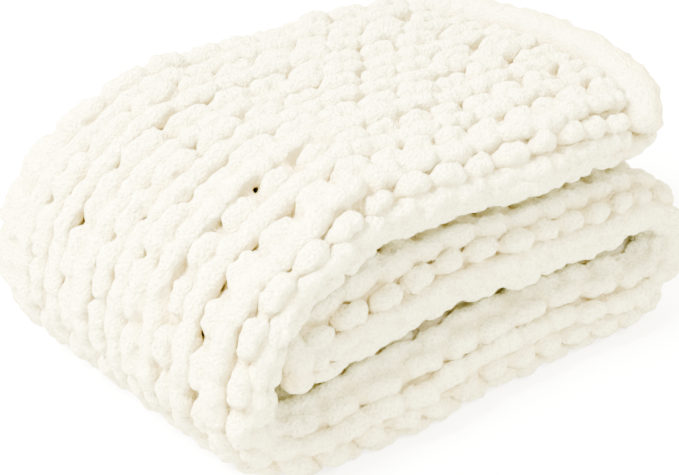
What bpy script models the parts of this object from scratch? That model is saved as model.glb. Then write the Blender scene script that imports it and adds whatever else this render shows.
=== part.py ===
"""A chunky chenille knit blanket, folded and lying flat, as one solid.

The knitted piece is doubled lengthwise, which gives a two-layer band with a rounded
fold along its near side and two open edges along its far side. That band is then
folded into three: it runs along the top, turns down round the left end, runs back
along the floor, turns up at the right end and ends between the other two.

Metres, +Z up. X runs along the bands and Y across them. The origin is at the centre
of the footprint, on the floor. Lengths in the tables below are centimetres.
"""

import math
from collections import namedtuple

import bmesh
import bpy
import numpy as np

CM = 0.01

# The knitting
RIBS = 19  # ribs from the far edge over the outer face and round the near fold
STITCH = 3.7  # length of one stitch along a rib
GROOVE = 0.8  # depth between two ribs
NECK = 0.3  # how far a rib draws in between two stitches
FLOOR_FADE = (0.2, 1.4)  # heights between which the relief fades out towards the floor
HIDDEN_FADE = (3.5, 6.0)  # the same for a hidden face, measured in from the near side

# The doubled cloth
SLIT = 0.5  # space between the two layers
SLIT_ROOT = 5.0  # the slit stops this far short of the near fold
SLIT_POINTS = 4  # points along each of its faces
FOLD_ROUND = 4.2  # how far the rounding of the near fold reaches across
FOLD_SQUARE = 0.85  # exponent of the fold's outline: 1 is an ellipse, less is squarer
LIP = 0.9  # how far the lower side of a near fold juts past its upper side
END_ROUND = 2.4  # length over which a free end thins out
END_THIN = 0.35  # share of the thickness left at the very end
END_DRAW = 1.6  # how much narrower the band is at a free end, on each side

# The free end on top: it bulges in plan, and its edge is a roll behind a furrow
BULGE = 5.0
BULGE_CENTRE = 3.0
BULGE_HALF_WIDTH = 18.0
BULGE_LENGTH = 14.0
ROLL = 3.4  # width of the roll
ROLL_GAP = 1.0  # width of the furrow behind it
ROLL_HEIGHT = 0.82  # share of the upper layer's thickness that the roll keeps
FURROW = 0.35  # the same for the bottom of the furrow

# Middle line of the band, from the free end on top to the free end inside
Row = namedtuple("Row", "x z thick near far")
ROUTE = (
    Row(23.2, 19.0, 6.0, -16.0, 16.2),
    Row(19.6, 19.9, 7.2, -17.0, 16.8),
    Row(13.0, 20.5, 7.4, -17.4, 17.0),
    Row(4.0, 20.9, 7.0, -17.2, 17.0),
    Row(-5.0, 21.0, 6.8, -17.0, 16.8),
    Row(-12.0, 20.5, 6.6, -17.0, 16.6),
    Row(-18.4, 17.9, 6.0, -17.2, 16.6),
    Row(-22.0, 13.9, 5.6, -17.4, 16.6),
    Row(-22.9, 9.2, 5.4, -17.4, 16.7),
    Row(-20.7, 5.1, 5.8, -17.2, 16.8),
    Row(-16.0, 3.5, 6.8, -17.2, 17.0),
    Row(-10.0, 3.85, 7.8, -17.4, 17.2),
    Row(-2.0, 4.15, 8.4, -17.6, 17.2),
    Row(7.0, 4.2, 8.5, -17.8, 17.2),
    Row(15.0, 4.0, 8.1, -18.0, 17.2),
    Row(21.4, 3.6, 6.6, -17.6, 17.0),
    Row(25.1, 4.7, 5.4, -17.0, 16.8),
    Row(26.7, 7.4, 4.8, -16.6, 16.6),
    Row(25.2, 10.1, 5.2, -16.8, 16.6),
    Row(21.4, 11.6, 6.0, -17.0, 16.8),
    Row(14.0, 12.4, 7.1, -17.2, 16.9),
    Row(6.0, 13.0, 7.4, -17.2, 17.0),
    Row(-2.0, 13.2, 8.0, -17.0, 17.0),
    Row(-9.0, 12.8, 8.2, -16.8, 17.0),
    Row(-14.5, 11.9, 7.4, -16.6, 17.0),
    Row(-18.4, 11.2, 5.8, -16.4, 16.8),
)
LAST_TOP_ROW = 6  # up to this row the band is the top one
HIDDEN_ROW = 20  # from this row on, the outer face lies under the top band

# Slow unevenness along the band
Wave = namedtuple("Wave", "length height start")
NEAR_WAVES = (Wave(27.0, 0.35, 0.4), Wave(11.5, 0.2, 2.1))
TOP_WAVES = (Wave(21.0, 0.2, 1.0), Wave(9.0, 0.12, 3.0))
TOP_WAVE_SLANT = 0.7

# Where the band is cut across: its row, its distance from both ends and the way out of the fold
Cut = namedtuple("Cut", "row place left middle out_x out_z half_stitch")

COLOUR = (0.86, 0.82, 0.73, 1.0)
ROUGHNESS = 0.95


def smooth(low, high, value):
    """0 below low, 1 above high, and a smooth rise between them."""
    share = min(max((value - low) / (high - low), 0.0), 1.0)
    return share * share * (3.0 - 2.0 * share)


def waves(table, place):
    """Sum of the table's sine waves at this place along the band."""
    return sum(wave.height * math.sin(2 * math.pi * place / wave.length + wave.start) for wave in table)


def route_at(row):
    """The table's values at a fractional row, on a curve through all rows."""
    rows = np.array(ROUTE)
    first = min(int(row), len(rows) - 2)
    share = row - first
    start, end = rows[first], rows[first + 1]
    before = rows[first - 1] if first else 2 * start - end
    after = rows[first + 2] if first + 2 < len(rows) else 2 * end - start
    pull = 2 * before - 5 * start + 4 * end - after
    bend = 3 * start - before - 3 * end + after
    return Row(*(0.5 * (2 * start + (end - before) * share + pull * share**2 + bend * share**3)))


def cuts_along():
    """Two cuts a stitch, and a few more where the free ends round off."""
    last = len(ROUTE) - 1
    fine_rows = np.linspace(0, last, 2000)
    line = np.array([route_at(row) for row in fine_rows])
    distance = np.concatenate([[0.0], np.cumsum(np.hypot(np.diff(line[:, 0]), np.diff(line[:, 1])))])
    total = distance[-1]
    halves = round(total / (STITCH / 2))
    half_stitch = total / halves
    top_end = [0.4, 1.0, ROLL - 0.6, ROLL + ROLL_GAP / 2]
    places = [half_stitch * index for index in range(halves + 1)]
    places = sorted(places + top_end + [total - 1.0, total - 0.4])
    cuts = []
    for place in places:
        row = float(np.interp(place, distance, fine_rows))
        ahead, behind = route_at(min(row + 0.02, last)), route_at(max(row - 0.02, 0))
        along = np.array([ahead.x - behind.x, ahead.z - behind.z])
        along /= np.hypot(*along)
        cuts.append(Cut(row, place, total - place, route_at(row), along[1], -along[0], place / half_stitch))
    return cuts


def end_share(place):
    """How much of its thickness a layer keeps at this distance from its end."""
    share = min(place / END_ROUND, 1.0)
    return END_THIN + (1 - END_THIN) * math.sqrt(1 - (1 - share) ** 2)


def roll_share(place):
    """The same for the outer layer at the free end on top, with its roll and furrow."""
    if place < ROLL:
        lift = math.sqrt(max(1 - (2 * place / ROLL - 1) ** 2, 0.0))
        return FURROW + (ROLL_HEIGHT - FURROW) * lift
    return FURROW + (1 - FURROW) * smooth(ROLL + ROLL_GAP / 2, ROLL + 1.8 * ROLL_GAP, place)


def ribbed_outline(half, near, far):
    """Points of a cut, two a rib, from the far edge over the outer face and round the near fold."""
    radius = (half - SLIT / 2) / 2
    line = []
    for turn in np.linspace(0, math.pi / 2, 5):
        line.append((far - radius * (1 - math.cos(turn)), half - radius * (1 - math.sin(turn))))
    for turn in np.linspace(0, math.pi, 25):
        across = near + FOLD_ROUND * (1 - math.sin(turn) ** FOLD_SQUARE)
        line.append((across, half * math.copysign(abs(math.cos(turn)) ** FOLD_SQUARE, math.cos(turn))))
    line = np.array(line)
    run = np.concatenate([[0.0], np.cumsum(np.hypot(*np.diff(line, axis=0).T))])
    marks = np.linspace(0, run[-1], 2 * RIBS + 1)
    return np.stack([np.interp(marks, run, line[:, 0]), np.interp(marks, run, line[:, 1])], axis=1)


def plain_outline(half, near, far):
    """The rest of a cut: the inner face, the far edge of the inner layer and the slit."""
    radius = (half - SLIT / 2) / 2
    edge = far - radius
    points = [(near + FOLD_ROUND + share * (edge - near - FOLD_ROUND), -half) for share in (0.3, 0.65, 1.0)]
    for turn in (math.pi / 4, math.pi / 2, 3 * math.pi / 4):
        points.append((edge + radius * math.sin(turn), -half + radius * (1 - math.cos(turn))))
    slit = np.linspace(edge, near + SLIT_ROOT, SLIT_POINTS)
    points += [(across, -SLIT / 2) for across in slit]
    points += [(across, SLIT / 2) for across in reversed(slit)]
    return points


def relief(index, cut, from_near, height):
    """Depth below the outline at one of its points: a groove, or a rib drawn in between stitches."""
    if index in (0, 2 * RIBS):
        return 0.0
    stitch_turn = (round(cut.half_stitch) + index // 2) % 2
    depth = NECK * stitch_turn if index % 2 else GROOVE
    if cut.row > HIDDEN_ROW:
        depth *= 1 - smooth(*HIDDEN_FADE, from_near)
    return depth * smooth(*FLOOR_FADE, height)


def ribbed_points(cut, half, near, far, thinned):
    """The ribbed outline with its relief, sunk along the inward normal."""
    outline = ribbed_outline(half, near, far)
    sides = np.gradient(outline, axis=0)
    sides /= np.hypot(sides[:, 0], sides[:, 1])[:, None]
    points = []
    for index, (across, out) in enumerate(outline):
        depth = thinned * relief(index, cut, across - near, cut.middle.z + out * cut.out_z)
        points.append((across - sides[index][1] * depth, out + sides[index][0] * depth))
    return points


def placed(cut, across, out, shares, near):
    """One point of a cut, in metres: thinned at an end, leant, bulged and kept above the floor."""
    outer_share, inner_share = shares
    half = cut.middle.thick / 2
    root = SLIT / 2
    if out > root:
        out = root + (out - root) * outer_share
    elif out < -root:
        out = -root + (out + root) * inner_share
    lean = LIP * (1 - smooth(near, near + 2 * FOLD_ROUND, across)) * cut.out_z * out / half / 2
    if cut.row < LAST_TOP_ROW and out > 0:
        out += waves(TOP_WAVES, cut.place + TOP_WAVE_SLANT * across) * out / half
    bulge = BULGE * (1 - ((across - BULGE_CENTRE) / BULGE_HALF_WIDTH) ** 2)
    bulge *= 1 - smooth(0, BULGE_LENGTH, cut.place)
    x = cut.middle.x + cut.out_x * out + bulge
    z = max(cut.middle.z + cut.out_z * out, 0.0)
    return (x * CM, (across + lean) * CM, z * CM)


def cut_points(cut):
    """All points of one cut, going round."""
    half = cut.middle.thick / 2
    last_end = end_share(cut.left)
    inner_share = min(end_share(cut.place), last_end)
    outer_share = min(roll_share(cut.place), last_end)
    draw = END_DRAW * (1 - inner_share)
    near = cut.middle.near + waves(NEAR_WAVES, cut.place) + draw
    far = cut.middle.far - draw
    points = ribbed_points(cut, half, near, far, inner_share) + plain_outline(half, near, far)
    return [placed(cut, across, out, (outer_share, inner_share), near) for across, out in points]


def close_end(made, ring):
    """Fills an end with a strip of triangles between the outline of both layers and their slit."""
    outline = ring[: -2 * SLIT_POINTS]
    slit = ring[: -2 * SLIT_POINTS - 1 : -1]
    near = min(vert.co.y for vert in ring)
    front = min(range(len(outline)), key=lambda index: outline[index].co.y)

    def progress(chain, index):
        on_upper = index <= front if chain is outline else index < SLIT_POINTS
        from_near = chain[index].co.y - near
        return -from_near if on_upper else from_near

    along, across = 0, 0
    while along < len(outline) - 1 or across < len(slit) - 1:
        outline_left = along < len(outline) - 1
        slit_left = across < len(slit) - 1
        if not slit_left or (outline_left and progress(outline, along + 1) <= progress(slit, across + 1)):
            made.faces.new((outline[along], outline[along + 1], slit[across]))
            along += 1
        else:
            made.faces.new((outline[along], slit[across + 1], slit[across]))
            across += 1


def blanket_mesh():
    """Joins the cuts, one to the next, and closes both ends."""
    made = bmesh.new()
    rings = [[made.verts.new(point) for point in cut_points(cut)] for cut in cuts_along()]
    count = len(rings[0])
    for first, second in zip(rings, rings[1:]):
        for index in range(count):
            after = (index + 1) % count
            made.faces.new((first[index], first[after], second[after], second[index]))
    close_end(made, rings[0])
    close_end(made, rings[-1])
    bmesh.ops.triangulate(made, faces=made.faces, quad_method="BEAUTY")
    bmesh.ops.recalc_face_normals(made, faces=made.faces)
    mesh = bpy.data.meshes.new("blanket")
    made.to_mesh(mesh)
    made.free()
    return mesh


def chenille():
    material = bpy.data.materials.new("cream_chenille")
    material.use_nodes = True
    shader = material.node_tree.nodes["Principled BSDF"]
    shader.inputs["Base Color"].default_value = COLOUR
    shader.inputs["Roughness"].default_value = ROUGHNESS
    shader.inputs["Metallic"].default_value = 0.0
    return material


def main():
    for old in list(bpy.data.objects):
        bpy.data.objects.remove(old, do_unlink=True)
    collection = bpy.data.collections.new("folded_knit_blanket")
    bpy.context.scene.collection.children.link(collection)
    blanket = bpy.data.objects.new("blanket", blanket_mesh())
    blanket.data.materials.append(chenille())
    blanket.data.shade_smooth()
    collection.objects.link(blanket)


main()
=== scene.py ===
"""Looks of the folded chunky knit blanket: real chenille yarn loops, knitted along the fold.

The first half repeats the fold's own sizes, in centimetres, and lays a surface with its
normals over it. The second half runs the yarn through that surface, course by course,
as it runs in the purl side of a plain knit, and gives it its material, light and camera.
"""

import math
from collections import namedtuple

import bpy
import numpy as np
from mathutils.bvhtree import BVHTree
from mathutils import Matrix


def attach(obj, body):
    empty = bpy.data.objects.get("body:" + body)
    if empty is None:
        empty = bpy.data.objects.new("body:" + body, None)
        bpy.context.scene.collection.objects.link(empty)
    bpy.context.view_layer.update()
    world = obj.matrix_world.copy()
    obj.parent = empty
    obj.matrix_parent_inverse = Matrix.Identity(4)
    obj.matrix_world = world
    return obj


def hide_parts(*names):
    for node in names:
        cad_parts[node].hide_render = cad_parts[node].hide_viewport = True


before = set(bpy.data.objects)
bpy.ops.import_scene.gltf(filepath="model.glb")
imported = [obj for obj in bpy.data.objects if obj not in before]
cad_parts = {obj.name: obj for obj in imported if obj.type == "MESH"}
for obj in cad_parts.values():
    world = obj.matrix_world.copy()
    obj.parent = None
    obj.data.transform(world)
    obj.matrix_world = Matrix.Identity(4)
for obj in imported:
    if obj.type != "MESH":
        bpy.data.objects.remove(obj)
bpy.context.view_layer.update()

CM = 0.01

# The folded band, as in the solid
RIBS = 19
SLIT = 0.5
FOLD_ROUND = 4.2
FOLD_SQUARE = 0.85
FOLD_POINTS = 41
CUT_RIBS = 33.0  # ribs round the whole cut, the inner layer's among them
LIP = 0.9
BULGE = 5.0
BULGE_CENTRE = 3.0
BULGE_HALF_WIDTH = 18.0
BULGE_LENGTH = 14.0
Row = namedtuple("Row", "x z thick near far")
ROUTE = (
    Row(23.2, 19.0, 6.0, -16.0, 16.2),
    Row(19.6, 19.9, 7.2, -17.0, 16.8),
    Row(13.0, 20.5, 7.4, -17.4, 17.0),
    Row(4.0, 20.9, 7.0, -17.2, 17.0),
    Row(-5.0, 21.0, 6.8, -17.0, 16.8),
    Row(-12.0, 20.5, 6.6, -17.0, 16.6),
    Row(-18.4, 17.9, 6.0, -17.2, 16.6),
    Row(-22.0, 13.9, 5.6, -17.4, 16.6),
    Row(-22.9, 9.2, 5.4, -17.4, 16.7),
    Row(-20.7, 5.1, 5.8, -17.2, 16.8),
    Row(-16.0, 3.5, 6.8, -17.2, 17.0),
    Row(-10.0, 3.85, 7.8, -17.4, 17.2),
    Row(-2.0, 4.15, 8.4, -17.6, 17.2),
    Row(7.0, 4.2, 8.5, -17.8, 17.2),
    Row(15.0, 4.0, 8.1, -18.0, 17.2),
    Row(21.4, 3.6, 6.6, -17.6, 17.0),
    Row(25.1, 4.7, 5.4, -17.0, 16.8),
    Row(26.7, 7.4, 4.8, -16.6, 16.6),
    Row(25.2, 10.1, 5.2, -16.8, 16.6),
    Row(21.4, 11.6, 6.0, -17.0, 16.8),
    Row(14.0, 12.4, 7.1, -17.2, 16.9),
    Row(6.0, 13.0, 7.4, -17.2, 17.0),
    Row(-2.0, 13.2, 8.0, -17.0, 17.0),
    Row(-9.0, 12.8, 8.2, -16.8, 17.0),
    Row(-14.5, 11.9, 7.4, -16.6, 17.0),
    Row(-18.4, 11.2, 5.8, -16.4, 16.8),
)
LAST_TOP_ROW = 6
Wave = namedtuple("Wave", "length height start")
NEAR_WAVES = (Wave(27.0, 0.35, 0.4), Wave(11.5, 0.2, 2.1))
TOP_WAVES = (Wave(21.0, 0.2, 1.0), Wave(9.0, 0.12, 3.0))
TOP_WAVE_SLANT = 0.7

# The yarn and its loops, lengths in centimetres
YARN_RADIUS = 0.97
LEG_THIN = 0.3  # how much thinner the yarn is where it is pulled tight behind
LEG_DEPTH = 1.3  # how far the legs lie behind heads and feet
LOOP_REACH = 1.5  # how far heads and feet lie from their course's middle, in ribs
# A loop's length along its course, how flat its head and foot are, how far it widens past
# an even wave, how much wider heads are than feet, and how late its yarn dives behind
Loop = namedtuple("Loop", "stitch flat bulge wide dive")
FACE_LOOP = Loop(4.1, 3.2, 0.9, 0.34, 2.9)
NEAR_LOOP = Loop(3.4, 2.1, 0.44, 0.3, 2.0)
NEAR_COURSES = (6, 7, 8)  # the courses round the near fold
BEAD = 0.1  # how much the yarn swells twice in every stitch
TURN_WIDE = 0.4  # how much wider the loops reach on the left turn, where the outside is longer
TURN = (32.0, 40.0, 54.0, 62.0)  # where that turn starts and ends along the band
FIRST_LOOPS = -0.1  # how near the first course's feet come to the far edge, in ribs
TOP_END = 4.3  # the loops stop this far short of the free end on top, where the roll lies
INNER_END = 0.9  # the same at the other end, and for the inner layer on top
STEPS = 38  # points along the yarn for each stitch
SIDES = 14  # points round the yarn

# A plain yarn behind each course closes the holes between its legs
BACKING_DEPTH = 2.7
BACKING_RADIUS = 0.9
BACKING_POINTS = 400

# How uneven the knitting is: the size of each change, its length along the yarn and its seed
Uneven = namedtuple("Uneven", "size length seed")
LOOP_WIDTHS = Uneven(0.15, 3.0, 140)
SHARED_DRIFT = Uneven(0.4, 9.0, 11)
COURSE_DRIFT = Uneven(0.25, 6.0, 120)
LOOP_HEIGHTS = Uneven(0.07, 2.9, 20)
COURSE_SWAY = Uneven(0.16, 5.0, 40)
LOOP_SWAY = Uneven(0.12, 1.7, 160)
LOOP_DEPTHS = Uneven(0.22, 2.6, 60)
YARN_SIZES = Uneven(0.1, 1.9, 80)

# The yarn along the far edge
SELVEDGE_RIB = -0.6
SELVEDGE_RADIUS = 0.85
SELVEDGE_POINTS = 500
SELVEDGE_SIZES = Uneven(0.06, 2.2, 95)

# Plain yarns along the lower rims of the top and middle bands, on the near side
Rim = namedtuple("Rim", "first last rib depth radius seed")  # from first to last along the band
RIMS = (
    Rim(7.0, 36.0, 17.1, 1.2, 1.1, 141),
    Rim(103.0, 151.0, 17.2, 1.2, 1.1, 151),
)
RIM_POINTS = 200
RIM_ROUNDING = 12  # points over which a rim's ends close
RIM_SWAY = Uneven(0.25, 6.0, 0)
RIM_DEPTHS = Uneven(0.15, 3.0, 1)
RIM_SIZES = Uneven(0.12, 1.8, 2)

# The ends of the cloth, across the band; a place below nought counts back from the band's end
End = namedtuple("End", "place ribs depth radius seed")
ENDS = (
    End(2.1, (-0.4, 16.5), 1.3, 2.05, 101),  # the rolled edge on top
    End(1.0, (16.5, 32.6), 1.5, 1.35, 111),
    End(-0.8, (-0.4, 17.0), 1.5, 1.35, 121),
    End(-0.8, (17.0, 32.6), 1.5, 1.35, 131),
)
END_POINTS = 90
END_SIDES = 18
END_SWAY = Uneven(0.25, 4.0, 0)
END_DEPTHS = Uneven(0.15, 3.0, 1)
END_SIZES = Uneven(0.06, 2.2, 2)
RIB_WIDTH = 2.2
EDGE_BEAD = 0.05  # how much the yarns of rims and ends swell and shrink

# The courses joined in each piece, and the grid on which touching yarns grow together
Piece = namedtuple("Piece", "first last grid")
PIECES = (
    Piece(0, 1, 0.315),
    Piece(2, 3, 0.315),
    Piece(4, 5, 0.315),
    Piece(6, 7, 0.315),
    Piece(8, 9, 0.315),
    Piece(10, 12, 0.48),
    Piece(13, 15, 0.48),
)
EDGE_GRID = 0.34
SMOOTHINGS = 1  # how often the grown mesh is softened

# The pile: how far it stands out on average, and its lumps, widest first
PROUD = 0.04
Lump = namedtuple("Lump", "width height seed")
LUMPS = (Lump(1.9, 0.1, 3), Lump(0.85, 0.13, 5), Lump(0.5, 0.17, 9))
PRESSED = 0.02  # the pile under the blanket is pressed flat this far above the floor


def smooth(low, high, value):
    share = np.clip((value - low) / (high - low), 0.0, 1.0)
    return share * share * (3.0 - 2.0 * share)


def waves(table, place):
    return sum(wave.height * np.sin(2 * math.pi * place / wave.length + wave.start) for wave in table)


def route_at(row):
    """The table's values at a fractional row, on a curve through all rows."""
    rows = np.array(ROUTE)
    first = min(int(row), len(rows) - 2)
    share = row - first
    start, end = rows[first], rows[first + 1]
    before = rows[first - 1] if first else 2 * start - end
    after = rows[first + 2] if first + 2 < len(rows) else 2 * end - start
    pull = 2 * before - 5 * start + 4 * end - after
    bend = 3 * start - before - 3 * end + after
    return 0.5 * (2 * start + (end - before) * share + pull * share**2 + bend * share**3)


def half_round(edge, radius, centre, first, last, count=9):
    """Points on the round far edge of a layer, between two angles from its outer side."""
    turns = np.linspace(first, last, count)
    return [(edge + radius * math.sin(turn), centre + radius * math.cos(turn)) for turn in turns]


def outline(half, near, far):
    """One cut's outline as (across, out) points, with each point's place counted in ribs."""
    radius = (half - SLIT / 2) / 2
    edge = far - radius
    centre = SLIT / 2 + radius
    start = half_round(edge, radius, centre, math.pi, math.pi / 2)
    ribbed = half_round(edge, radius, centre, math.pi / 2, 0.0)
    for turn in np.linspace(0, math.pi, FOLD_POINTS):
        across = near + FOLD_ROUND * (1 - math.sin(turn) ** FOLD_SQUARE)
        ribbed.append((across, half * math.copysign(abs(math.cos(turn)) ** FOLD_SQUARE, math.cos(turn))))
    rest = [(edge, -half)] + half_round(edge, radius, -centre, math.pi, 0.0)[1:]
    points = np.array(start + ribbed[1:] + rest)
    run = np.concatenate([[0.0], np.cumsum(np.hypot(*np.diff(points, axis=0).T))])
    rib_start = run[len(start) - 1]
    rib_end = run[len(start) + len(ribbed) - 2]
    ribs = (run - rib_start) / (rib_end - rib_start) * RIBS
    inner = RIBS + (run - rib_end) / (run[-1] - rib_end) * (CUT_RIBS + 1 - RIBS)
    return points, np.where(run > rib_end, inner, ribs)


class Surface:
    """The outer side of the folded, doubled cloth, by distance along the band and count of ribs."""

    STEP = 0.5
    FIRST_RIB = -1.0
    LAST_RIB = CUT_RIBS + 1
    PER_RIB = 8
    FINE_ROWS = 4000

    def __init__(self):
        last = len(ROUTE) - 1
        fine_rows = np.linspace(0, last, self.FINE_ROWS)
        line = np.array([route_at(row) for row in fine_rows])
        distance = np.concatenate([[0.0], np.cumsum(np.hypot(np.diff(line[:, 0]), np.diff(line[:, 1])))])
        self.total = distance[-1]
        self.places = np.linspace(0, self.total, int(self.total / self.STEP) + 1)
        self.ribs = np.linspace(
            self.FIRST_RIB, self.LAST_RIB, int((self.LAST_RIB - self.FIRST_RIB) * self.PER_RIB) + 1
        )
        along = np.gradient(line[:, :2], axis=0)
        along /= np.linalg.norm(along, axis=1)[:, None]
        points = []
        inwards = []
        for place in self.places:
            row = np.interp(place, distance, fine_rows)
            x, z, thick, near, far = (np.interp(place, distance, column) for column in line.T)
            out_x = np.interp(place, distance, along[:, 1])
            out_z = -np.interp(place, distance, along[:, 0])
            near = near + waves(NEAR_WAVES, place)
            cut, ribs = outline(thick / 2, near, far)
            across = np.interp(self.ribs, ribs, cut[:, 0])
            out = np.interp(self.ribs, ribs, cut[:, 1])
            side = np.stack([np.gradient(across), np.gradient(out)], axis=1)
            side /= np.linalg.norm(side, axis=1)[:, None] + 1e-9
            lean = LIP * (1 - smooth(near, near + 2 * FOLD_ROUND, across)) * out_z * out / thick
            if row < LAST_TOP_ROW:
                lift = waves(TOP_WAVES, place + TOP_WAVE_SLANT * across) * out / thick * 2
                out = out + np.where(out > 0, lift, 0.0)
            bulge = BULGE * (1 - ((across - BULGE_CENTRE) / BULGE_HALF_WIDTH) ** 2)
            bulge *= 1 - smooth(0, BULGE_LENGTH, place)
            points.append(np.stack([x + out_x * out + bulge, across + lean, z + out_z * out], axis=1))
            inwards.append(np.stack([side[:, 0] * out_x, -side[:, 1], side[:, 0] * out_z], axis=1))
        self.points = np.array(points)
        self.inwards = np.array(inwards)

    def at(self, place, rib, depth):
        """Points at this depth under the surface, and the way in there."""
        row = np.clip(place / self.total * (len(self.places) - 1), 0, len(self.places) - 1.001)
        column = np.clip((rib - self.FIRST_RIB) * self.PER_RIB, 0, len(self.ribs) - 1.001)
        r = row.astype(int)
        c = column.astype(int)
        past_row = (row - r)[:, None]
        past_column = (column - c)[:, None]

        def mix(grid):
            low = grid[r, c] * (1 - past_column) + grid[r, c + 1] * past_column
            high = grid[r + 1, c] * (1 - past_column) + grid[r + 1, c + 1] * past_column
            return low * (1 - past_row) + high * past_row

        inward = mix(self.inwards)
        inward /= np.linalg.norm(inward, axis=1)[:, None] + 1e-9
        return mix(self.points) + inward * depth[:, None], inward

    def tree(self):
        """The surface as a search tree, which tells how deep in the cloth a point lies."""
        rows, columns = self.points.shape[:2]
        corner = np.arange(0, rows - 2, 2)[:, None] * columns + np.arange(0, columns - 2, 2)[None, :]
        corner = corner.reshape(-1)
        faces = np.stack([corner, corner + 2, corner + 2 * columns + 2, corner + 2 * columns], axis=1)
        return BVHTree.FromPolygons(self.points.reshape(-1, 3).tolist(), faces.tolist())


# Large odd factors that scatter a lattice corner's number
AXIS_FACTORS = (73856093, 19349663, 83492791)
FIRST_SCATTER = 2654435761
SECOND_SCATTER = 2246822519
SEED_SHIFT = 17.31


def lattice(points, cell, seed):
    """Smooth random values, from -1 to 1, at these points, on a lattice of this cell."""
    spot = points / cell + seed * SEED_SHIFT
    base = np.floor(spot).astype(np.int64)
    share = spot - base
    share = share * share * (3 - 2 * share)
    value = np.zeros(len(points))
    for corner in range(8):
        step = np.array([corner & 1, (corner >> 1) & 1, (corner >> 2) & 1])
        cell_id = base + step
        across, along, up = (cell_id * AXIS_FACTORS).T
        mixed = across ^ along ^ up ^ seed
        mixed = (mixed * FIRST_SCATTER) & 0xFFFFFFFF
        mixed = ((mixed ^ (mixed >> 15)) * SECOND_SCATTER) & 0xFFFFFFFF
        mixed = mixed ^ (mixed >> 13)
        random = (mixed & 0xFFFFFF) / 0xFFFFFF * 2 - 1
        weight = np.prod(np.where(step == 1, share, 1 - share), axis=1)
        value += random * weight
    return value


def tube(points, inward, radius, sides=SIDES):
    """Vertices and faces of a tube along these points."""
    along = np.gradient(points, axis=0)
    along /= np.linalg.norm(along, axis=1)[:, None]
    side = np.cross(along, inward)
    side /= np.linalg.norm(side, axis=1)[:, None]
    up = np.cross(side, along)
    turns = np.linspace(0, 2 * math.pi, sides, endpoint=False)
    ring = np.cos(turns)[None, :, None] * up[:, None, :] + np.sin(turns)[None, :, None] * side[:, None, :]
    spots = points[:, None, :] + ring * radius[:, None, None]
    first = np.arange(len(points) - 1)[:, None] * sides + np.arange(sides)[None, :]
    after = np.arange(len(points) - 1)[:, None] * sides + (np.arange(sides)[None, :] + 1) % sides
    faces = np.stack([first, after, after + sides, first + sides], axis=2).reshape(-1, 4)
    return spots.reshape(-1, 3), faces


def rounded_ends(radius, reach=4):
    """Radii that close to almost nothing over the last few points at both ends."""
    radius = radius.copy()
    for index in range(reach):
        share = math.sqrt(1 - (1 - (index + 0.15) / reach) ** 2)
        radius[index] *= share
        radius[-1 - index] *= share
    return radius


def softened(spots, edges, times):
    """Each point moved halfway to the middle of its neighbours, this many times."""
    count = np.bincount(edges.reshape(-1), minlength=len(spots)).astype(float)
    for _ in range(times):
        total = np.zeros_like(spots)
        for axis in range(3):
            total[:, axis] = np.bincount(edges[:, 0], spots[edges[:, 1], axis], len(spots))
            total[:, axis] += np.bincount(edges[:, 1], spots[edges[:, 0], axis], len(spots))
        spots = (spots + total / count[:, None]) / 2
    return spots


class Bundle:
    """Tubes that grow together into one fluffy mesh where they touch."""

    def __init__(self, grid):
        self.spots = []
        self.faces = []
        self.count = 0
        self.grid = grid

    def add(self, points, inward, radius, sides=SIDES):
        spots, faces = tube(points, inward, radius, sides)
        last = self.count + len(spots) - sides
        self.spots.append(spots)
        self.faces += (faces + self.count).tolist()
        self.faces.append(list(range(self.count, self.count + sides))[::-1])
        self.faces.append(list(range(last, last + sides)))
        self.count += len(spots)

    def build(self, name, material, hull):
        mesh = bpy.data.meshes.new(name)
        mesh.from_pydata((np.concatenate(self.spots) * CM).tolist(), [], self.faces)
        tubes = bpy.data.objects.new(name, mesh)
        bpy.context.scene.collection.objects.link(tubes)
        grow = tubes.modifiers.new("grow", "REMESH")
        grow.mode = "VOXEL"
        grow.voxel_size = self.grid * CM
        graph = bpy.context.evaluated_depsgraph_get()
        grown = bpy.data.meshes.new_from_object(tubes.evaluated_get(graph))
        bpy.data.objects.remove(tubes)
        bpy.data.meshes.remove(mesh)
        grown.name = name

        spots = np.empty(len(grown.vertices) * 3)
        grown.vertices.foreach_get("co", spots)
        edges = np.empty(len(grown.edges) * 2, int)
        grown.edges.foreach_get("vertices", edges)
        spots = softened(spots.reshape(-1, 3) / CM, edges.reshape(-1, 2), SMOOTHINGS)
        grown.vertices.foreach_set("co", (spots * CM).reshape(-1))
        grown.update()
        outwards = np.empty(len(spots) * 3)
        grown.vertices.foreach_get("normal", outwards)
        lumps = sum(lump.height * lattice(spots, lump.width, lump.seed) for lump in LUMPS)
        spots = spots + outwards.reshape(-1, 3) * (PROUD + lumps)[:, None]
        spots[:, 2] = np.maximum(spots[:, 2], PRESSED)
        grown.vertices.foreach_set("co", (spots * CM).reshape(-1))
        grown.update()
        grown.shade_smooth()
        # how deep each point lies under the surface, which the material uses to paint warm shade between
        # the loops
        sunk = np.array([hull.find_nearest(spot)[3] for spot in spots.tolist()], np.float32)
        grown.attributes.new("sunk", "FLOAT", "POINT").data.foreach_set("value", sunk)
        grown.materials.clear()
        grown.materials.append(material)
        piece = bpy.data.objects.new(name, grown)
        bpy.context.scene.collection.objects.link(piece)
        print(name, 2 * len(spots), "triangles", flush=True)
        return piece


def uneven(change, places, seed=0):
    """Slow random changes at these places, about one new one each length."""
    seed = change.seed + seed
    row = np.full(len(places), seed * 3.7)
    spots = np.stack([places / change.length, row, np.zeros(len(places))], axis=1)
    return change.size * lattice(spots, 1.0, seed)


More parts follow.
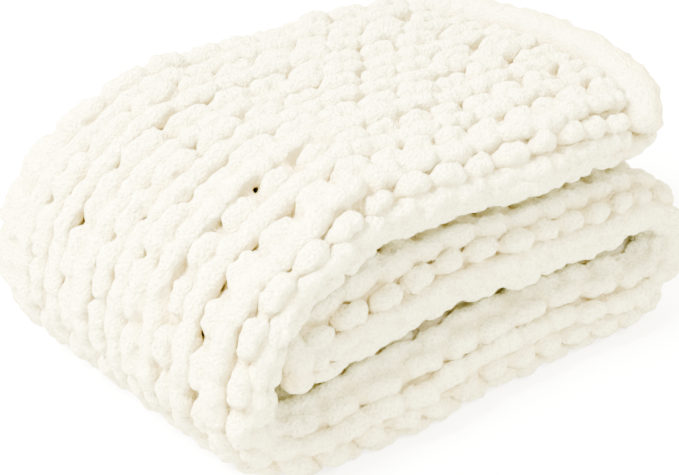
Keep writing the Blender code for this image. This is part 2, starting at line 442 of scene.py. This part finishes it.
def course_line(surface, course):
    """Centre of one course's yarn: places, ribs and depths, and its radius."""
    middle = 2 * course + 1.0
    outer = middle < RIBS - 1
    start = TOP_END if outer else INNER_END
    end = surface.total - INNER_END
    loop = NEAR_LOOP if course in NEAR_COURSES else FACE_LOOP
    stitches = round((end - start) / loop.stitch)
    turns = np.linspace(0, stitches * 2 * math.pi, stitches * STEPS + 1)
    even = start + turns / (2 * math.pi) * (end - start) / stitches
    turned = smooth(*TURN[:2], even) * (1 - smooth(*TURN[2:], even))
    widen = loop.bulge * np.sin(2 * turns) + loop.wide * np.sin(turns)
    widen = widen * (1 + TURN_WIDE * turned + uneven(LOOP_WIDTHS, even, course))
    place = even + widen
    swell = -BEAD * np.cos(4 * math.pi * (place - start) * stitches / (end - start))
    place = place + uneven(SHARED_DRIFT, even) + uneven(COURSE_DRIFT, even, course)
    flat = np.tanh(loop.flat * np.cos(turns)) / math.tanh(loop.flat)
    rib = middle + LOOP_REACH * flat * (1 + uneven(LOOP_HEIGHTS, even, course))
    rib = rib + uneven(COURSE_SWAY, even, course) + uneven(LOOP_SWAY, even, course)
    rib = np.maximum(rib, FIRST_LOOPS)
    leg = np.sin(turns) ** 2
    depth = YARN_RADIUS + LEG_DEPTH * leg**loop.dive + uneven(LOOP_DEPTHS, even, course)
    radius = YARN_RADIUS * (1 - LEG_THIN * leg) * (1 + swell)
    radius = radius * (1 + uneven(YARN_SIZES, even, course))
    return place, rib, depth, radius


def backing(bundle, surface, course, first, last):
    """The plain yarn behind one course."""
    side = np.linspace(first, last, BACKING_POINTS)
    rib = np.full(BACKING_POINTS, 2 * course + 1.0)
    points, inward = surface.at(side, rib, np.full(BACKING_POINTS, BACKING_DEPTH))
    bundle.add(points, inward, rounded_ends(np.full(BACKING_POINTS, BACKING_RADIUS)))


def knit(surface, material, hull):
    """The courses, in a few joined pieces."""
    pieces = []
    for part in PIECES:
        bundle = Bundle(part.grid)
        for course in range(part.first, part.last + 1):
            place, rib, depth, radius = course_line(surface, course)
            points, inward = surface.at(place, rib, depth)
            bundle.add(points, inward, rounded_ends(radius))
            backing(bundle, surface, course, place[0], place[-1])
        pieces.append(bundle.build(f"knit_courses_{part.first + 1}", material, hull))
    return pieces


def selvedge(bundle, surface):
    side = np.linspace(TOP_END - 1.5, surface.total - INNER_END, SELVEDGE_POINTS)
    rib = np.full(SELVEDGE_POINTS, SELVEDGE_RIB)
    points, inward = surface.at(side, rib, np.full(SELVEDGE_POINTS, SELVEDGE_RADIUS))
    bundle.add(points, inward, rounded_ends(SELVEDGE_RADIUS * (1 + uneven(SELVEDGE_SIZES, side))))


def rim_tube(bundle, surface, rim):
    side = np.linspace(rim.first, rim.last, RIM_POINTS)
    rib = rim.rib + uneven(RIM_SWAY, side, rim.seed)
    depth = rim.depth + uneven(RIM_DEPTHS, side, rim.seed)
    points, inward = surface.at(side, rib, depth)
    size = rim.radius * (1 + uneven(RIM_SIZES, side, rim.seed) + EDGE_BEAD * np.cos(math.pi * side))
    bundle.add(points, inward, rounded_ends(size, RIM_ROUNDING))


def end_tube(bundle, surface, end):
    """A tube across the band at one of its ends, from one rib count to another."""
    rib = np.linspace(*end.ribs, END_POINTS)
    across = rib * RIB_WIDTH
    place = end.place if end.place > 0 else surface.total + end.place
    side = place + uneven(END_SWAY, across, end.seed)
    depth = end.depth + uneven(END_DEPTHS, across, end.seed)
    points, inward = surface.at(side, rib, depth)
    size = end.radius * (1 + uneven(END_SIZES, across, end.seed) + EDGE_BEAD * np.cos(2 * math.pi * rib))
    bundle.add(points, inward, rounded_ends(size), END_SIDES)


def free_edges(surface, material, hull):
    """The far edge, the near rims and the ends of the cloth, in one joined piece."""
    bundle = Bundle(EDGE_GRID)
    selvedge(bundle, surface)
    for rim in RIMS:
        rim_tube(bundle, surface, rim)
    for end in ENDS:
        end_tube(bundle, surface, end)
    return bundle.build("rolled_edges", material, hull)


# Chenille: the yarn's pile, painted shade in the gaps of the pile, and painted warm shade deep between
# the loops
PILE_COLOUR = (0.95, 0.90, 0.48, 1.0)
# painted shade: this darker colour stands in for the shade in the gaps of the pile
PILE_SHADE_COLOUR = (0.50, 0.41, 0.15, 1.0)
# painted warm shade: this colour stands in for the shade and warm bounce light deep between the loops
CREVICE_SHADE_COLOUR = (0.84, 0.66, 0.22, 1.0)
SHEEN_COLOUR = (1.0, 0.97, 0.9, 1.0)
CREVICE_SHADE_DEPTHS = (0.3, 1.25)  # between these depths, in cm, the colour turns to the painted warm shade between the loops
FLECKS_PER_METRE = 380.0
PILE_SHADE_RANGE = (0.46, 0.7)  # between these values of the flecks, the colour turns to the painted shade of the gaps in the pile
PILE_PER_METRE = 900.0
TUFTS_PER_METRE = 330.0
TUFT_BEND = 0.004  # how strongly the flecks bend the tufts
PILE_HEIGHT = 0.006  # in metres, for the bump


def chenille():
    """Cream chenille: velvety and matt, with painted warm shade deep between the loops and painted shade
    in the gaps of the pile.
    """
    material = bpy.data.materials.new("cream_chenille")
    material.use_nodes = True
    nodes, links = material.node_tree.nodes, material.node_tree.links
    shader = nodes["Principled BSDF"]
    shader.inputs["Roughness"].default_value = 1.0
    shader.inputs["Specular IOR Level"].default_value = 0.15
    shader.inputs["Sheen Weight"].default_value = 0.35
    shader.inputs["Sheen Roughness"].default_value = 0.5
    shader.inputs["Sheen Tint"].default_value = SHEEN_COLOUR

    # painted warm shade: the colour turns darker and warmer the deeper the yarn lies under the surface
    sunk = nodes.new("ShaderNodeAttribute")
    sunk.attribute_name = "sunk"
    ramp = nodes.new("ShaderNodeMapRange")
    ramp.inputs["From Min"].default_value = CREVICE_SHADE_DEPTHS[0]
    ramp.inputs["From Max"].default_value = CREVICE_SHADE_DEPTHS[1]
    links.new(sunk.outputs["Fac"], ramp.inputs["Value"])
    place = nodes.new("ShaderNodeTexCoord")
    fleck = nodes.new("ShaderNodeTexNoise")
    fleck.inputs["Scale"].default_value = FLECKS_PER_METRE
    fleck.inputs["Detail"].default_value = 4.0
    fleck.inputs["Roughness"].default_value = 0.7
    links.new(place.outputs["Object"], fleck.inputs["Vector"])
    # painted shade in the gaps of the pile, placed by the flecks
    pile_shade = nodes.new("ShaderNodeMapRange")
    pile_shade.inputs["From Min"].default_value = PILE_SHADE_RANGE[0]
    pile_shade.inputs["From Max"].default_value = PILE_SHADE_RANGE[1]
    links.new(fleck.outputs["Fac"], pile_shade.inputs["Value"])
    tone = nodes.new("ShaderNodeMix")
    tone.data_type = "RGBA"
    tone.inputs["A"].default_value = PILE_COLOUR
    tone.inputs["B"].default_value = PILE_SHADE_COLOUR
    links.new(pile_shade.outputs["Result"], tone.inputs["Factor"])
    # mix in the painted warm shade between the loops
    deep = nodes.new("ShaderNodeMix")
    deep.data_type = "RGBA"
    deep.inputs["B"].default_value = CREVICE_SHADE_COLOUR
    links.new(ramp.outputs["Result"], deep.inputs["Factor"])
    links.new(tone.outputs["Result"], deep.inputs["A"])
    links.new(deep.outputs["Result"], shader.inputs["Base Color"])

    pile = nodes.new("ShaderNodeTexNoise")
    pile.inputs["Scale"].default_value = PILE_PER_METRE
    pile.inputs["Detail"].default_value = 3.0
    pile.inputs["Roughness"].default_value = 0.65
    links.new(place.outputs["Object"], pile.inputs["Vector"])
    bent = nodes.new("ShaderNodeMix")
    bent.data_type = "VECTOR"
    bent.inputs["Factor"].default_value = TUFT_BEND
    links.new(place.outputs["Object"], bent.inputs["A"])
    links.new(fleck.outputs["Color"], bent.inputs["B"])
    tufts = nodes.new("ShaderNodeTexVoronoi")
    tufts.inputs["Scale"].default_value = TUFTS_PER_METRE
    links.new(bent.outputs["Result"], tufts.inputs["Vector"])
    both = nodes.new("ShaderNodeMath")
    both.operation = "SUBTRACT"
    links.new(pile.outputs["Fac"], both.inputs[0])
    links.new(tufts.outputs["Distance"], both.inputs[1])
    bump = nodes.new("ShaderNodeBump")
    bump.inputs["Strength"].default_value = 1.0
    bump.inputs["Distance"].default_value = PILE_HEIGHT
    links.new(both.outputs["Value"], bump.inputs["Height"])
    links.new(bump.outputs["Normal"], shader.inputs["Normal"])
    return material


# Camera: angles in degrees, distance and target in centimetres, focal length in photo pixels
CAMERA_AZIMUTH = -40.55
CAMERA_ELEVATION = 27.33
CAMERA_DISTANCE = 135.0
CAMERA_TARGET = (-1.1, -0.74, 10.43)
FOCAL_PIXELS = 1551.7
PHOTO_WIDTH = 679
SENSOR_MM = 36.0


def camera():
    azimuth = math.radians(CAMERA_AZIMUTH)
    elevation = math.radians(CAMERA_ELEVATION)
    level = math.cos(elevation)
    back = np.array([math.sin(azimuth) * level, -math.cos(azimuth) * level, math.sin(elevation)])
    data = bpy.data.cameras.new("camera")
    data.sensor_width = SENSOR_MM
    data.lens = FOCAL_PIXELS / PHOTO_WIDTH * SENSOR_MM
    data.clip_end = 20.0
    eye = bpy.data.objects.new("camera", data)
    eye.location = (np.array(CAMERA_TARGET) + back * CAMERA_DISTANCE) * CM
    eye.rotation_euler = (math.pi / 2 - elevation, 0.0, azimuth)
    bpy.context.scene.collection.objects.link(eye)
    bpy.context.scene.camera = eye


# Soft studio light: each lamp's size and place in metres, and its power in watts
Lamp = namedtuple("Lamp", "name size power place")
LAMPS = (
    Lamp("key", 0.9, 1200.0, (-1.5, 0.1, 1.9)),
    Lamp("fill", 0.7, 260.0, (-0.5, -1.9, 2.0)),
    Lamp("back", 1.6, 160.0, (0.9, 1.6, 1.6)),
)
LAMP_COLOUR = (1.0, 0.995, 0.97)
LAMP_AIM = (0, 0, 0.12)


def light_lamps():
    for lamp in LAMPS:
        data = bpy.data.lights.new(lamp.name, "AREA")
        data.shape = "DISK"
        data.size = lamp.size
        data.energy = lamp.power
        data.color = LAMP_COLOUR
        thing = bpy.data.objects.new(lamp.name, data)
        thing.location = lamp.place
        way = -np.array(lamp.place) + np.array(LAMP_AIM)
        flat = math.hypot(way[0], way[1])
        thing.rotation_euler = (math.atan2(flat, -way[2]), 0.0, math.atan2(way[1], way[0]) - math.pi / 2)
        bpy.context.scene.collection.objects.link(thing)


FLOOR_REACH = 6.0
FLOOR_COLOUR = (0.95, 0.95, 0.95, 1.0)
FLOOR_GLOW = 3.0
SKY_COLOUR = (1.0, 0.93, 0.58, 1.0)
SKY_STRENGTH = 5.6


def studio():
    """A plain pale floor under an even warm sky."""
    mesh = bpy.data.meshes.new("floor")
    reach = FLOOR_REACH
    corners = [(-reach, -reach, 0), (reach, -reach, 0), (reach, reach, 0), (-reach, reach, 0)]
    mesh.from_pydata(corners, [], [(0, 1, 2, 3)])
    paint = bpy.data.materials.new("floor")
    paint.use_nodes = True
    shader = paint.node_tree.nodes["Principled BSDF"]
    shader.inputs["Base Color"].default_value = FLOOR_COLOUR
    shader.inputs["Roughness"].default_value = 0.9
    shader.inputs["Emission Color"].default_value = (1.0, 1.0, 1.0, 1.0)
    shader.inputs["Emission Strength"].default_value = FLOOR_GLOW
    mesh.materials.append(paint)
    floor = bpy.data.objects.new("floor", mesh)
    bpy.context.scene.collection.objects.link(floor)
    world = bpy.data.worlds.new("sky")
    world.use_nodes = True
    sky = world.node_tree.nodes["Background"]
    sky.inputs["Color"].default_value = SKY_COLOUR
    sky.inputs["Strength"].default_value = SKY_STRENGTH
    bpy.context.scene.world = world


surface = Surface()
yarn = chenille()
hull = surface.tree()
pieces = knit(surface, yarn, hull) + [free_edges(surface, yarn, hull)]
for piece in pieces:
    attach(piece, "root")
    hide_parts("blanket")
camera()
light_lamps()
studio()
